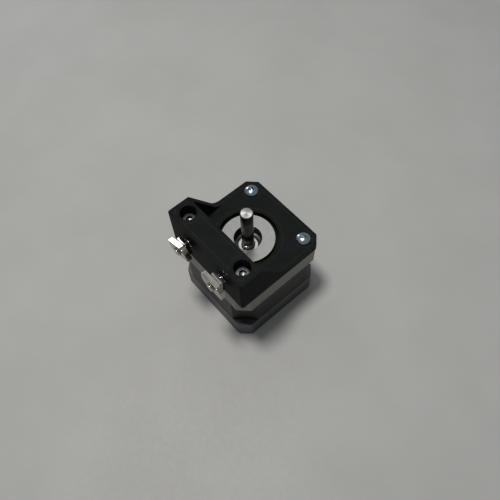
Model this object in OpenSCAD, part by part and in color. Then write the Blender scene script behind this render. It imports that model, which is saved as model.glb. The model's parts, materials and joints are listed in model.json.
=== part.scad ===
// Short square stepper motor with a printed bracket for slotted aluminium extrusion.
// The motor stands on its rear cap at z = 0 with its shaft along +Z through x = y = 0.
// The bracket's tall bar runs along X on the -Y side, and its tee nuts point to -Y.

/* [Motor] */
// Width of the motor across its flats
body_w = 42.3; // [42:0.1:43]
// Length of the motor from its rear face to its mounting face
body_len = 34; // [34:0.5:40]
// Height of the front end cap
front_cap_h = 8.5; // [8:0.1:9]
// Height of the rear end cap
rear_cap_h = 10.2; // [10:0.1:11]
// Corner chamfer of both end caps
cap_chamfer = 4.2; // [4:0.1:5]
// Corner chamfer of the laminated stack
stack_chamfer = 7.6; // [7:0.1:8]
// Distance between the face screws
screw_pitch = 31; // [30.8:0.1:31.2]
// Radius of the pilot disc on the mounting face
pilot_r = 11; // [10.8:0.1:11]
// Height of the pilot disc
pilot_h = 2; // [1.5:0.1:2.5]
// Radius of the opening round the shaft
recess_r = 5.7; // [5.4:0.1:6]

/* [Shaft and rotor] */
// Radius of the shaft
shaft_r = 2.5; // [2.5:0.1:2.5]
// Length of shaft that stands out of the mounting face
shaft_out = 20; // [18:0.5:24]
// Outside radius of the toothed rotor
rotor_r = 10.9; // [10.8:0.05:10.95]
// Number of teeth on each rotor cup
rotor_teeth = 50; // [50:1:50]
// Height of each rotor cup
cup_h = 5.4; // [5:0.1:5.4]

/* [Bracket] */
// Thickness of the plate on the motor face
plate_t = 2.5; // [2:0.1:3]
// Height of the tall bar above the motor face
bar_h = 18.5; // [18:0.5:20]
// Width of the bar
bar_w = 10.1; // [10:0.1:10.1]
// Corner chamfer of the plate's two far corners
plate_chamfer = 3.8; // [3.5:0.1:4.5]
// Radius of the bar's two outer corners
bar_corner_r = 1.1; // [1:0.1:3]
// Radius of the hole round the pilot
pilot_hole_r = 12.35; // [11.5:0.05:12.5]
// Thickness of the gusset wall at each end
gusset_t = 2.5; // [2:0.1:3]
// Where the gusset's foot runs out on the plate, from the shaft
gusset_toe_y = 3.2; // [2:0.1:5]
// Radius of the curve at the gusset's foot
gusset_fillet_r = 6; // [4:0.5:8]
// Slope of the gusset's straight edge
gusset_angle = 55; // [50:1:55]
// Radius of the counterbores in the bar
counterbore_r = 3.25; // [3.1:0.05:3.4]
// Height of the counterbore floor above the motor face
counterbore_z = 11.1; // [11:0.1:12]

/* [Tee nuts] */
// Distance of each tee nut screw from the middle
tee_x = 10; // [9.5:0.1:10]
// Length of the tee nut
tee_len = 11.3; // [10:0.1:11.5]
// Width of the tee nut
tee_w = 5.8; // [5.4:0.1:6]
// Thickness of the tee nut's wings
tee_wing_t = 2.2; // [1.8:0.1:2.4]
// Depth of the tee nut's boss, which goes in the slot's mouth
tee_boss_h = 2; // [1.8:0.1:2.2]
// Gap between the bar and the loose tee nut
tee_gap = 0.9; // [0.5:0.1:1]
// How far the left tee nut is turned from the slot's direction
left_tee_angle = 25; // [0:1:90]
// How far the right tee nut is turned from the slot's direction
right_tee_angle = 0; // [0:1:90]

/* [Hidden] */
$fn = 64;

half_w = body_w / 2;
half_pitch = screw_pitch / 2;
stack_z0 = rear_cap_h;
stack_z1 = body_len - front_cap_h;
stack_h = stack_z1 - stack_z0;
face_z = body_len;
shaft_top_z = face_z + shaft_out;
bar_in_y = -half_w + bar_w;
tee_z = face_z + bar_h / 2;
over = 1;                       // how far a cutting shape runs past a face

// Bearings, 5 x 16 x 5
bearing_r = 8;
bearing_w = 5;
outer_ring_inner_r = 6.3;
inner_ring_outer_r = 4.2;
ball_r = 1.389;
ball_pitch_r = 5.25;
ball_count = 8;
groove_r = 1.43;
front_lip_t = 2.5;                // metal left over the front bearing
front_bearing_z = face_z - front_lip_t - bearing_w;
rear_bearing_z = 2.2;
shield_t = 0.3;
shield_inset = 0.1;
shield_gap = 0.2;
cage_half_t = 0.35;
cage_half_h = 1.85;
cage_pocket_r = 1.45;
washer_t = 0.3;
washer_wave = 0.2;
washer_r_in = 6.4;
washer_r_out = 7.7;
spacer_r = 3.6;

// Caps
cavity_r = 18.4;
boss_r = 9.6;
front_cavity_h = 3.5;
rear_floor_t = 3;
rear_pocket_z = 1.5;
edge_break = 0.3;

// Stack
bore_r = 11.1;
shoe_r = 12.7;
yoke_r = 17.6;
pole_w = 3.6;
pole_count = 8;
shoe_half_angle = 19.5;
stator_tooth_pitch = 7.2;
slot_w = 0.7;
slot_depth = 0.6;
stack_inset = 0.12;

// Windings
liner_t = 0.6;
liner_w = 4;
liner_rim_h = 3;
liner_rim_t = 0.6;
liner_lip_t = 0.7;
liner_lip_w = 5.6;
coil_r0 = 13.5;
coil_r1 = 16.3;
coil_half_w = 4.4;
coil_end_h = 2.4;

// Screws
m3_r = 1.5;
m4_r = 2;
m3_clear_r = 1.7;
m4_clear_r = 2.2;
pan_head_r = 2.8;
pan_head_h = 2.2;
pan_dome_r = 3.9;
cross_len = 3.2;
cross_w = 0.7;
cross_depth = 1.3;
cross_well_r = 0.75;
cap_head_r = 2.75;
cap_head_h = 3;
button_head_r = 3.8;
button_head_h = 2.2;
button_dome_r = 4.6;
hex_m3 = 2.5;
hex_m3_depth = 1.5;
hex_m4 = 2.5;
hex_m4_depth = 1.3;
pan_screw_len = 6;
bar_screw_len = 16;
tee_bolt_len = 16;
far_left_turn = 20;
far_right_turn = 62;
case_screw_tip_z = face_z - 5.4;
case_head_z = 0.4;
case_head_h = 2;
case_counterbore_r = 3.1;

// Tee nuts
tee_boss_w = 6;
tee_thread_gap = 0.05;

// Rotor stack-up
magnet_h = 4.4;
rotor_gap = 0.4;                  // between the rotor and the front cap
rear_cup_z = stack_z1 - rotor_gap - magnet_h - 2 * cup_h;
rotor_tooth_depth = 0.7;
tooth_tip_share = 0.22;           // half of a tooth's tip and root, as shares of its pitch
tooth_root_share = 0.28;
magnet_z = rear_cup_z + cup_h;
front_cup_z = magnet_z + magnet_h;
shaft_step = 0.2;                 // from a bearing's side to the shaft's end or groove
shaft_z0 = rear_bearing_z + shaft_step;
relief_z = front_bearing_z + bearing_w + shaft_step;
relief_h = 1.5;
relief_depth = 0.3;

// Connector
socket_w = 15.5;
socket_h = 5.6;
socket_z = 1.3;
socket_y0 = 14.8;
socket_y1 = 22.4;
cavity_w = 13.8;
socket_cavity_h = 4;
cavity_y = 17;
pin_w = 0.5;
pin_pitch = 2;
pin_count = 6;
pin_z = socket_z + socket_h / 2;
pin_len = 8.2;
pin_tail = 1.2;
key_slot_x = 4.2;
key_slot_w = 1.6;
board_t = 1.6;
lead_xs = [-3, -1, 1, 3];
lead_r = 0.25;

// ---------- Outlines ----------

// A square with its four corners cut off
function octagon(half, cut) = [
    for (turn = [0:90:270], p = [[half, cut - half], [half, half - cut]])
        [p[0] * cos(turn) - p[1] * sin(turn), p[0] * sin(turn) + p[1] * cos(turn)]
];

// Points along an arc about c, from angle a0 to a1
function arc(c, r, a0, a1, steps) = [
    for (i = [0:steps]) let (a = a0 + (a1 - a0) * i / steps) c + r * [cos(a), sin(a)]
];

// Toothed rim of a rotor cup, turned by phase degrees
function toothed_rim(count, r_tip, r_root, phase) = [
    for (i = [0:count - 1], k = [0:3])
        let (pitch = 360 / count,
             share = [-tooth_root_share, -tooth_tip_share, tooth_tip_share, tooth_root_share][k],
             r = (k == 0 || k == 3) ? r_root : r_tip,
             a = phase + pitch * (i + share))
            r * [cos(a), sin(a)]
];

module ring(r_out, r_in, h) {
    difference() {
        cylinder(h = h, r = r_out);
        translate([0, 0, -over]) cylinder(h = h + 2 * over, r = r_in);
    }
}

module at_corners() {
    for (x = [-half_pitch, half_pitch], y = [-half_pitch, half_pitch])
        translate([x, y, 0]) children();
}

// ---------- Bracket ----------

module bar_outline() {
    straight = bar_w - bar_corner_r;
    translate([-half_w, -half_w + bar_corner_r]) square([body_w, straight]);
    translate([-half_w + bar_corner_r, -half_w]) square([body_w - 2 * bar_corner_r, bar_w]);
    for (side = [-1, 1])
        translate([side * (half_w - bar_corner_r), -half_w + bar_corner_r]) circle(bar_corner_r);
}

module plate_outline() {
    c = plate_chamfer;
    polygon([
        [-half_w, bar_in_y - over], [half_w, bar_in_y - over],
        [half_w, half_w - c], [half_w - c, half_w],
        [-half_w + c, half_w], [-half_w, half_w - c]
    ]);
}

// The gusset's side view in Y and Z: a straight slope that curves out flat on the plate
module gusset_outline() {
    centre = [gusset_toe_y, plate_t + gusset_fillet_r];
    foot = arc(centre, gusset_fillet_r, 270 - gusset_angle, 270, 8);
    rise = (foot[0][0] - bar_in_y) * tan(gusset_angle);
    polygon(concat(
        [[bar_in_y - over, 0], [bar_in_y - over, foot[0][1] + rise], [bar_in_y, foot[0][1] + rise]],
        foot,
        [[gusset_toe_y, 0]]
    ));
}

module gusset(side) {
    x0 = side < 0 ? -half_w : half_w - gusset_t;
    translate([x0, 0, face_z]) rotate([90, 0, 90]) linear_extrude(gusset_t) gusset_outline();
}

module printed_bracket() {
    color("#25272a") difference() {
        union() {
            translate([0, 0, face_z]) linear_extrude(plate_t) plate_outline();
            translate([0, 0, face_z]) linear_extrude(bar_h) bar_outline();
            for (side = [-1, 1]) gusset(side);
        }
        translate([0, 0, face_z - over]) cylinder(h = plate_t + over, r = pilot_hole_r, $fn = 96);
        translate([0, 0, face_z - over]) at_corners() cylinder(h = bar_h, r = m3_clear_r);
        for (side = [-1, 1]) {
            translate([side * half_pitch, -half_pitch, face_z + counterbore_z])
                cylinder(h = bar_h, r = counterbore_r);
            translate([side * tee_x, bar_in_y + over, tee_z])
                rotate([90, 0, 0]) cylinder(h = bar_w + 2 * over, r = m4_clear_r);
        }
    }
}

// ---------- Motor case ----------

module front_end_cap() {
    color("#a3a49f") difference() {
        union() {
            translate([0, 0, stack_z1]) linear_extrude(front_cap_h) polygon(octagon(half_w, cap_chamfer));
            translate([0, 0, face_z]) cylinder(h = pilot_h - edge_break, r = pilot_r, $fn = 96);
            translate([0, 0, face_z + pilot_h - edge_break])
                cylinder(h = edge_break, r1 = pilot_r, r2 = pilot_r - edge_break, $fn = 96);
        }
        translate([0, 0, stack_z1 - over]) ring(cavity_r, boss_r, front_cavity_h + over);
        translate([0, 0, stack_z1 - over])
            cylinder(h = front_bearing_z + bearing_w - stack_z1 + over, r = bearing_r);
        translate([0, 0, stack_z1]) cylinder(h = front_cap_h + pilot_h + over, r = recess_r);
        translate([0, 0, stack_z1 - over]) at_corners() cylinder(h = front_cap_h + 2 * over, r = m3_r);
    }
}

module rear_end_cap() {
    color("#8b8786") difference() {
        linear_extrude(rear_cap_h) polygon(octagon(half_w, cap_chamfer));
        translate([0, 0, rear_floor_t]) ring(cavity_r, boss_r, rear_cap_h);
        translate([0, 0, rear_bearing_z + bearing_w]) cylinder(h = rear_cap_h, r = boss_r + over);
        translate([0, 0, rear_pocket_z]) cylinder(h = rear_cap_h, r = bearing_r);
        translate([0, 0, -over]) at_corners() {
            cylinder(h = rear_cap_h + 2 * over, r = m3_clear_r);
            cylinder(h = over + case_head_z + case_head_h, r = case_counterbore_r);
        }
        translate([-socket_w / 2, socket_y0 - board_t, socket_z])
            cube([socket_w, half_w, socket_h]);
    }
}

module stator_core() {
    color("#1d1d20") difference() {
        translate([0, 0, stack_z0]) linear_extrude(stack_h) difference() {
            polygon(octagon(half_w - stack_inset, stack_chamfer));
            difference() {
                circle(yoke_r, $fn = 96);
                for (i = [0:pole_count - 1]) rotate(i * 360 / pole_count) pole_outline();
            }
        }
        translate([0, 0, stack_z0 - over]) {
            cylinder(h = stack_h + 2 * over, r = bore_r, $fn = 96);
            at_corners() cylinder(h = stack_h + 2 * over, r = m3_clear_r);
        }
    }
}

// One pole with its shoe; five slots leave the shoe six teeth
module pole_outline() {
    reach = shoe_r / cos(shoe_half_angle);
    difference() {
        union() {
            translate([shoe_r - over, -pole_w / 2]) square([yoke_r - shoe_r + 2 * over, pole_w]);
            intersection() {
                circle(shoe_r, $fn = 96);
                polygon([[0, 0], reach * [cos(shoe_half_angle), -sin(shoe_half_angle)],
                         reach * [cos(shoe_half_angle), sin(shoe_half_angle)]]);
            }
        }
        for (k = [-2:2]) rotate(k * stator_tooth_pitch)
            translate([bore_r - over, -slot_w / 2]) square([over + slot_depth, slot_w]);
    }
}

// ---------- Windings ----------

// Plastic liner on one end of the stack: a rim, and on each pole a finger with a lip
module liner() {
    ring(yoke_r, yoke_r - liner_rim_t, liner_rim_h);
    for (i = [0:pole_count - 1]) rotate(i * 360 / pole_count) {
        translate([shoe_r, -liner_w / 2, 0]) cube([yoke_r - shoe_r - liner_rim_t / 2, liner_w, liner_t]);
        translate([shoe_r, -liner_lip_w / 2, 0]) cube([liner_lip_t, liner_lip_w, liner_rim_h]);
    }
}

module front_insulator() {
    color("#e6e2d6") translate([0, 0, stack_z1]) liner();
}

module rear_insulator() {
    color("#e6e2d6") translate([0, 0, stack_z0]) mirror([0, 0, 1]) liner();
}

// Side view of a winding: a rounded rectangle with the pole's window in it
module coil_outline() {
    r = coil_end_h;
    half_h = stack_h / 2 + liner_t + coil_end_h;
    difference() {
        union() {
            square([2 * (coil_half_w - r), 2 * half_h], center = true);
            square([2 * coil_half_w, 2 * (half_h - r)], center = true);
            for (x = [-1, 1], y = [-1, 1]) translate([x * (coil_half_w - r), y * (half_h - r)]) circle(r);
        }
        square([liner_w, stack_h + 2 * liner_t], center = true);
    }
}

module coil(number) {
    color("#b5622d") rotate([0, 0, (number - 1) * 360 / pole_count])
        translate([coil_r0, 0, (stack_z0 + stack_z1) / 2])
            rotate([90, 0, 90]) linear_extrude(coil_r1 - coil_r0) coil_outline();
}

// ---------- Rotor ----------

module rotor_shaft() {
    color("#b9bcc0") rotate_extrude() polygon([
        [0, shaft_z0], [shaft_r - edge_break, shaft_z0], [shaft_r, shaft_z0 + edge_break],
        [shaft_r, relief_z], [shaft_r - relief_depth, relief_z],
        [shaft_r - relief_depth, relief_z + relief_h], [shaft_r, relief_z + relief_h],
        [shaft_r, shaft_top_z - edge_break], [shaft_r - edge_break, shaft_top_z], [0, shaft_top_z]
    ]);
}

module rotor_cup(z, phase) {
    color("#77787b") translate([0, 0, z]) difference() {
        linear_extrude(cup_h) polygon(toothed_rim(rotor_teeth, rotor_r, rotor_r - rotor_tooth_depth, phase));
        translate([0, 0, -over]) cylinder(h = cup_h + 2 * over, r = shaft_r);
    }
}

module front_rotor_cup() rotor_cup(front_cup_z, 0);

module rear_rotor_cup() rotor_cup(rear_cup_z, 180 / rotor_teeth);

module rotor_magnet() {
    color("#3b3c40") translate([0, 0, magnet_z]) ring(rotor_r - 1, shaft_r, magnet_h);
}

module front_shaft_spacer() {
    color("#c8b068") translate([0, 0, front_cup_z + cup_h])
        ring(spacer_r, shaft_r, front_bearing_z - front_cup_z - cup_h);
}

module rear_shaft_spacer() {
    color("#c8b068") translate([0, 0, rear_bearing_z + bearing_w])
        ring(spacer_r, shaft_r, rear_cup_z - rear_bearing_z - bearing_w);
}

// ---------- Bearings ----------

module bearing_ring(z, r_out, r_in) {
    color("#c9ccd0") translate([0, 0, z]) difference() {
        ring(r_out, r_in, bearing_w);
        translate([0, 0, bearing_w / 2])
            rotate_extrude() translate([ball_pitch_r, 0]) circle(groove_r, $fn = 32);
    }
}

module bearing_balls(z) {
    color("#d8dadd") for (i = [0:ball_count - 1]) rotate(i * 360 / ball_count)
        translate([ball_pitch_r, 0, z + bearing_w / 2]) sphere(ball_r, $fn = 32);
}

module bearing_cage(z) {
    color("#9a7b3c") translate([0, 0, z + bearing_w / 2]) difference() {
        translate([0, 0, -cage_half_h])
            ring(ball_pitch_r + cage_half_t, ball_pitch_r - cage_half_t, 2 * cage_half_h);
        for (i = [0:ball_count - 1]) rotate(i * 360 / ball_count)
            rotate([0, 90, 0]) cylinder(h = ball_pitch_r + over, r = cage_pocket_r);
    }
}

module bearing_shields(z) {
    color("#aeb1b5") for (at = [shield_inset, bearing_w - shield_inset - shield_t])
        translate([0, 0, z + at]) ring(outer_ring_inner_r, inner_ring_outer_r + shield_gap, shield_t);
}

module front_bearing_outer_ring() bearing_ring(front_bearing_z, bearing_r, outer_ring_inner_r);

module front_bearing_inner_ring() bearing_ring(front_bearing_z, inner_ring_outer_r, shaft_r);

module front_bearing_balls() bearing_balls(front_bearing_z);

module front_bearing_cage() bearing_cage(front_bearing_z);

module front_bearing_shields() bearing_shields(front_bearing_z);

module rear_bearing_outer_ring() bearing_ring(rear_bearing_z, bearing_r, outer_ring_inner_r);

module rear_bearing_inner_ring() bearing_ring(rear_bearing_z, inner_ring_outer_r, shaft_r);

module rear_bearing_balls() bearing_balls(rear_bearing_z);

module rear_bearing_cage() bearing_cage(rear_bearing_z);

module rear_bearing_shields() bearing_shields(rear_bearing_z);

// Spring washer with three waves that pushes on the rear bearing's outer ring
module wave_washer() {
    steps = 48;
    waves = 3;
    mid_z = (rear_pocket_z + rear_bearing_z) / 2;
    // four points at each step: inner low, outer low, outer high, inner high
    points = [
        for (i = [0:steps - 1], k = [0:3])
            let (a = i * 360 / steps,
                 r = (k == 0 || k == 3) ? washer_r_in : washer_r_out,
                 z = mid_z + washer_wave * sin(waves * a) + (k < 2 ? -1 : 1) * washer_t / 2)
                [r * cos(a), r * sin(a), z]
    ];
    faces = [
        for (i = [0:steps - 1], k = [0:3])
            let (n = (i + 1) % steps, m = (k + 1) % 4)
                [4 * i + k, 4 * i + m, 4 * n + m, 4 * n + k]
    ];
    color("#8d9094") polyhedron(points = points, faces = faces, convexity = 6);
}

// ---------- Screws ----------

module hexagon_socket(across, depth) {
    translate([0, 0, -depth]) cylinder(h = depth + over, d = across / cos(30), $fn = 6);
}

// Two crossed slots, for a cross-head driver
module cross_recess(depth) {
    for (turn = [0, 90]) rotate(turn)
        translate([-cross_len / 2, -cross_w / 2, 0]) cube([cross_len, cross_w, depth]);
}

// Screws stand with the underside of the head at z = 0 and the thread below it
module pan_screw(length) {
    difference() {
        union() {
            translate([0, 0, -length]) cylinder(h = length, r = m3_r);
            intersection() {
                cylinder(h = pan_head_h, r = pan_head_r);
                translate([0, 0, pan_head_h - pan_dome_r]) sphere(pan_dome_r, $fn = 96);
            }
        }
        translate([0, 0, pan_head_h - cross_depth]) {
            cross_recess(cross_depth + over);
            cylinder(h = cross_depth + over, r = cross_well_r);
        }
    }
}

module cap_screw(length) {
    difference() {
        union() {
            translate([0, 0, -length]) cylinder(h = length, r = m3_r);
            cylinder(h = cap_head_h - edge_break, r = cap_head_r);
            translate([0, 0, cap_head_h - edge_break])
                cylinder(h = edge_break, r1 = cap_head_r, r2 = cap_head_r - edge_break);
        }
        translate([0, 0, cap_head_h]) hexagon_socket(hex_m3, hex_m3_depth);
    }
}

module button_screw(length) {
    difference() {
        union() {
            translate([0, 0, -length]) cylinder(h = length, r = m4_r);
            intersection() {
                cylinder(h = button_head_h, r = button_head_r);
                translate([0, 0, button_head_h - button_dome_r]) sphere(button_dome_r, $fn = 96);
            }
        }
        translate([0, 0, button_head_h]) hexagon_socket(hex_m4, hex_m4_depth);
    }
}

module far_left_pan_screw() {
    color("#b9c2ca") translate([-half_pitch, half_pitch, face_z + plate_t])
        rotate(far_left_turn) pan_screw(pan_screw_len);
}

module far_right_pan_screw() {
    color("#b9c2ca") translate([half_pitch, half_pitch, face_z + plate_t])
        rotate(far_right_turn) pan_screw(pan_screw_len);
}

module left_bar_screw() {
    color("#b4b8bd") translate([-half_pitch, -half_pitch, face_z + counterbore_z])
        cap_screw(bar_screw_len);
}

module right_bar_screw() {
    color("#b4b8bd") translate([half_pitch, -half_pitch, face_z + counterbore_z])
        cap_screw(bar_screw_len);
}

module tee_bolt(side) {
    color("#c6c4bd") translate([side * tee_x, bar_in_y, tee_z]) rotate([-90, 0, 0])
        button_screw(tee_bolt_len);
}

module left_tee_bolt() tee_bolt(-1);

module right_tee_bolt() tee_bolt(1);

module case_screws() {
    length = case_screw_tip_z - case_head_z - case_head_h;
    color("#9c9fa3") at_corners() translate([0, 0, case_head_z]) difference() {
        union() {
            cylinder(h = case_head_h, r = pan_head_r);
            translate([0, 0, case_head_h]) cylinder(h = length, r = m3_r);
        }
        translate([0, 0, -over]) cross_recess(over + cross_depth);
    }
}

// ---------- Tee nuts ----------

// Two opposite corners are round, so the nut turns in its slot and stops after a quarter turn
module tee_wing_outline() {
    r = tee_w / 2;
    square([tee_len - tee_w, tee_w], center = true);
    for (turn = [0, 180]) rotate(turn) translate([tee_len / 2 - r, 0]) {
        circle(r);
        translate([-over, -r]) square([r + over, r]);
    }
}

module tee_nut(side, angle) {
    y0 = half_w + tee_gap;
    color("#cfccc4") translate([side * tee_x, 0, tee_z]) rotate([0, -angle, 0]) rotate([90, 0, 0])
        difference() {
            union() {
                translate([0, 0, y0]) linear_extrude(tee_boss_h) square([tee_boss_w, tee_w], center = true);
                translate([0, 0, y0 + tee_boss_h]) linear_extrude(tee_wing_t) tee_wing_outline();
            }
            cylinder(h = y0 + tee_boss_h + tee_wing_t + over, r = m4_r + tee_thread_gap);
        }
}

module left_tee_nut() tee_nut(-1, left_tee_angle);

module right_tee_nut() tee_nut(1, right_tee_angle);

// ---------- Connector ----------

module pins() {
    for (i = [0:pin_count - 1])
        translate([(i - (pin_count - 1) / 2) * pin_pitch, socket_y0 - board_t - pin_tail, pin_z])
            translate([-pin_w / 2, 0, -pin_w / 2]) cube([pin_w, pin_len, pin_w]);
}

module connector_socket() {
    color("#e9e6dc") difference() {
        translate([-socket_w / 2, socket_y0, socket_z]) cube([socket_w, socket_y1 - socket_y0, socket_h]);
        translate([-cavity_w / 2, cavity_y, pin_z - socket_cavity_h / 2])
            cube([cavity_w, socket_y1 - cavity_y + over, socket_cavity_h]);
        for (x = [-key_slot_x, key_slot_x]) translate([x - key_slot_w / 2, cavity_y + over, pin_z])
            cube([key_slot_w, socket_y1 - cavity_y, socket_h]);
        pins();
    }
}

module connector_pins() {
    color("#d3cfc0") pins();
}

module lead_board() {
    color("#2f5b3a") difference() {
        translate([-socket_w / 2, socket_y0 - board_t, socket_z]) cube([socket_w, board_t, socket_h]);
        pins();
    }
}

// Four short wires from the board up to the windings behind it
module coil_leads() {
    board_top = socket_z + socket_h;
    coil_bottom = stack_z0 - liner_t - coil_end_h;
    color("#b5622d") for (x = lead_xs) translate([x, socket_y0 - board_t / 2, board_top])
        cylinder(h = coil_bottom - board_top, r = lead_r);
}

printed_bracket();
front_end_cap();
stator_core();
rear_end_cap();
front_insulator();
rear_insulator();
coil(1);  // coil_1
coil(2);  // coil_2
coil(3);  // coil_3
coil(4);  // coil_4
coil(5);  // coil_5
coil(6);  // coil_6
coil(7);  // coil_7
coil(8);  // coil_8
rotor_shaft();
front_rotor_cup();
rear_rotor_cup();
rotor_magnet();
front_shaft_spacer();
rear_shaft_spacer();
front_bearing_outer_ring();
front_bearing_inner_ring();
front_bearing_balls();
front_bearing_cage();
front_bearing_shields();
rear_bearing_outer_ring();
rear_bearing_inner_ring();
rear_bearing_balls();
rear_bearing_cage();
rear_bearing_shields();
wave_washer();
case_screws();
connector_socket();
connector_pins();
lead_board();
coil_leads();
far_left_pan_screw();
far_right_pan_screw();
left_bar_screw();
right_bar_screw();
left_tee_bolt();
right_tee_bolt();
left_tee_nut();
right_tee_nut();
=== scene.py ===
"""Looks for a short stepper motor with a printed extrusion bracket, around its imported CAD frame.

The motor stands on z = 0 with its shaft along +Z, and the bracket's bar is on the -Y side.
Shapes are worked out in millimetres and turned into metres when a piece is made.
"""

import json
import math

import bmesh
import bpy
from mathutils import Matrix, Vector


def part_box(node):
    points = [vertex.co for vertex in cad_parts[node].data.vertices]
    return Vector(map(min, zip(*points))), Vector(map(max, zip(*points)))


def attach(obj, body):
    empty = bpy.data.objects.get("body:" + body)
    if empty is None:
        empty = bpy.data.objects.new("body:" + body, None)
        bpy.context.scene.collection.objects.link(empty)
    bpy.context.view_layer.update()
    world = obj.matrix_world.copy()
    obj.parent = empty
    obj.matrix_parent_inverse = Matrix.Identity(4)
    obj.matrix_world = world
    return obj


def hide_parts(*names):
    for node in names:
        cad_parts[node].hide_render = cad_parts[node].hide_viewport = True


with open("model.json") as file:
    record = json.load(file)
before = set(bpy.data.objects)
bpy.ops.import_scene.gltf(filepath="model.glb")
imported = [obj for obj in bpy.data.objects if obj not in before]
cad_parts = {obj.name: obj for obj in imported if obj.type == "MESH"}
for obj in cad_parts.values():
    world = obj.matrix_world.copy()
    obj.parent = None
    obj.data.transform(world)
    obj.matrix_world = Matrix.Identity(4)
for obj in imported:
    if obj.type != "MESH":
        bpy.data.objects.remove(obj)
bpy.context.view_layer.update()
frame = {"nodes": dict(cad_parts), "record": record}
scene = bpy.context.scene
MM = 0.001
ROOT, ROTOR = "motor_and_bracket", "rotor"


# ---------- Sizes, in millimetres ----------

def box_mm(node):
    """A CAD node's lowest and highest corners."""
    low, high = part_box(node)
    return low / MM, high / MM


OVER = 1.0  # how far a cutter runs past the face that it opens
AXIS_R = 0.001  # the radius that stands for zero, where a turned profile meets its axis
M3 = (1.5, 0.5, 0.28)  # a thread's outer radius, pitch and depth
M4 = (2.0, 0.7, 0.38)
M3_CLEARANCE_R = 1.7
M4_CLEARANCE_R = 2.2

bracket_low, bracket_high = box_mm("printed_bracket")
HALF_W = bracket_high.x
FACE_Z = bracket_low.z
BAR_TOP = bracket_high.z
PLATE_T = 2.5
PLATE_TOP = FACE_Z + PLATE_T
PLATE_CHAMFER = 3.8
BAR_T = 10.1
BAR_IN_Y = -HALF_W + BAR_T
BAR_CORNER_R = 1.1
GUSSET_T = 2.5
GUSSET_TOE_Y = 3.2
GUSSET_FILLET_R = 6.0
GUSSET_ANGLE = math.radians(55)
PILOT_HOLE_R = 12.35
COUNTERBORE_R = 3.25
COUNTERBORE_Z = FACE_Z + 11.1
SCREW_AT = 15.5
TEE_X = 10.0
TEE_Z = (FACE_Z + BAR_TOP) / 2
LAYER = 0.25
BEAD = 0.48

CAP_CHAMFER = 4.2
CAP_CORNER_R = 1.3
CASE_SCREWS = [(x, y) for x in (-SCREW_AT, SCREW_AT) for y in (-SCREW_AT, SCREW_AT)]
CASE_COUNTERBORE_R, CASE_COUNTERBORE_Z = 3.1, 2.4
WINDING_IN_R, WINDING_OUT_R = 9.6, 18.4
PILOT_R, RECESS_R = 11.0, 5.7
BEARING_R, BEARING_W = 8.0, 5.0
FRONT_BEARING_Z = box_mm("front_bearing_outer_ring")[0].z
REAR_BEARING_Z = box_mm("rear_bearing_outer_ring")[0].z
OUTER_RING_IN_R, INNER_RING_OUT_R = 6.3, 4.2
BALL_PITCH_R, BALL_TRACK_R = 5.25, 1.43
STACK_LOW, STACK_HIGH = (p.z for p in box_mm("stator_core"))
CAP_TOP = box_mm("front_end_cap")[1].z
SHAFT_R = 2.5
SHAFT_LOW, SHAFT_HIGH = (p.z for p in box_mm("rotor_shaft"))


# ---------- Outlines ----------

def rounded(points, radius, steps=3):
    """A closed outline with its corners turned into arcs. radius is a number, or a list of one a point."""
    out = []
    count = len(points)
    radii = radius if isinstance(radius, (list, tuple)) else [radius] * count
    for i, p in enumerate(points):
        p = Vector(p)
        back = Vector(points[i - 1]) - p
        ahead = Vector(points[(i + 1) % count]) - p
        if radii[i] <= 0:
            out.append(p)
            continue
        u, v = back.normalized(), ahead.normalized()
        half = u.angle(v) / 2
        reach = min(radii[i] / math.tan(half), back.length * 0.49, ahead.length * 0.49)
        centre = p + (u + v).normalized() * (reach / math.cos(half))
        a, b = p + u * reach - centre, p + v * reach - centre
        turn = a.angle(b)
        for k in range(steps + 1):
            t = k / steps
            share_a = math.sin((1 - t) * turn) / math.sin(turn)
            share_b = math.sin(t * turn) / math.sin(turn)
            out.append(centre + (a * share_a + b * share_b))
    return out


def octagon(half, cut):
    """A square with its corners cut off, anticlockwise."""
    quarter = [(half, cut - half), (half, half - cut)]
    out = []
    for turn in range(4):
        c, s = (1, 0, -1, 0)[turn], (0, 1, 0, -1)[turn]
        out += [(x * c - y * s, x * s + y * c) for x, y in quarter]
    return out


def circle(radius, steps, centre=(0, 0)):
    angles = [i * math.tau / steps for i in range(steps)]
    return [(centre[0] + radius * math.cos(a), centre[1] + radius * math.sin(a)) for a in angles]


def hexagon_radius(across, angle):
    """How far a hexagon's side is from its middle, in that direction."""
    sixth = math.pi / 3
    return across / 2 / math.cos((angle % sixth) - sixth / 2)


# ---------- Meshes ----------

def skin(bm, rings, closed=False):
    """Quads between rings of points. The ends are capped, or where closed the last ring meets the first."""
    rows = [[bm.verts.new(p) for p in points] for points in rings]
    pairs = list(zip(rows, rows[1:]))
    if closed:
        pairs.append((rows[-1], rows[0]))
    count = len(rows[0])
    for a, b in pairs:
        for i in range(count):
            j = (i + 1) % count
            bm.faces.new((a[i], a[j], b[j], b[i]))
    if not closed:
        bm.faces.new(list(reversed(rows[0])))
        bm.faces.new(rows[-1])


def lathe(bm, profile, steps, closed):
    """Turns a profile of (radius, height) points about Z. closed joins its ends, as on a ring."""
    angles = [i * math.tau / steps for i in range(steps)]
    rings = [[Vector((r * math.cos(a), r * math.sin(a), z)) for a in angles] for r, z in profile]
    skin(bm, rings, closed)


def prism(outline, low, high, along="Z"):
    """An outline pushed from low to high along Z, or along X in (Y, Z), or along Y in (X, Z)."""
    place = {
        "Z": lambda a, b, c: Vector((a, b, c)),
        "X": lambda a, b, c: Vector((c, a, b)),
        "Y": lambda a, b, c: Vector((a, c, b)),
    }[along]
    bm = bmesh.new()
    skin(bm, [[place(a, b, level) for a, b in outline] for level in (low, high)])
    return bm


def turned(profile, steps, closed=False):
    bm = bmesh.new()
    lathe(bm, profile, steps, closed)
    return bm


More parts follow.
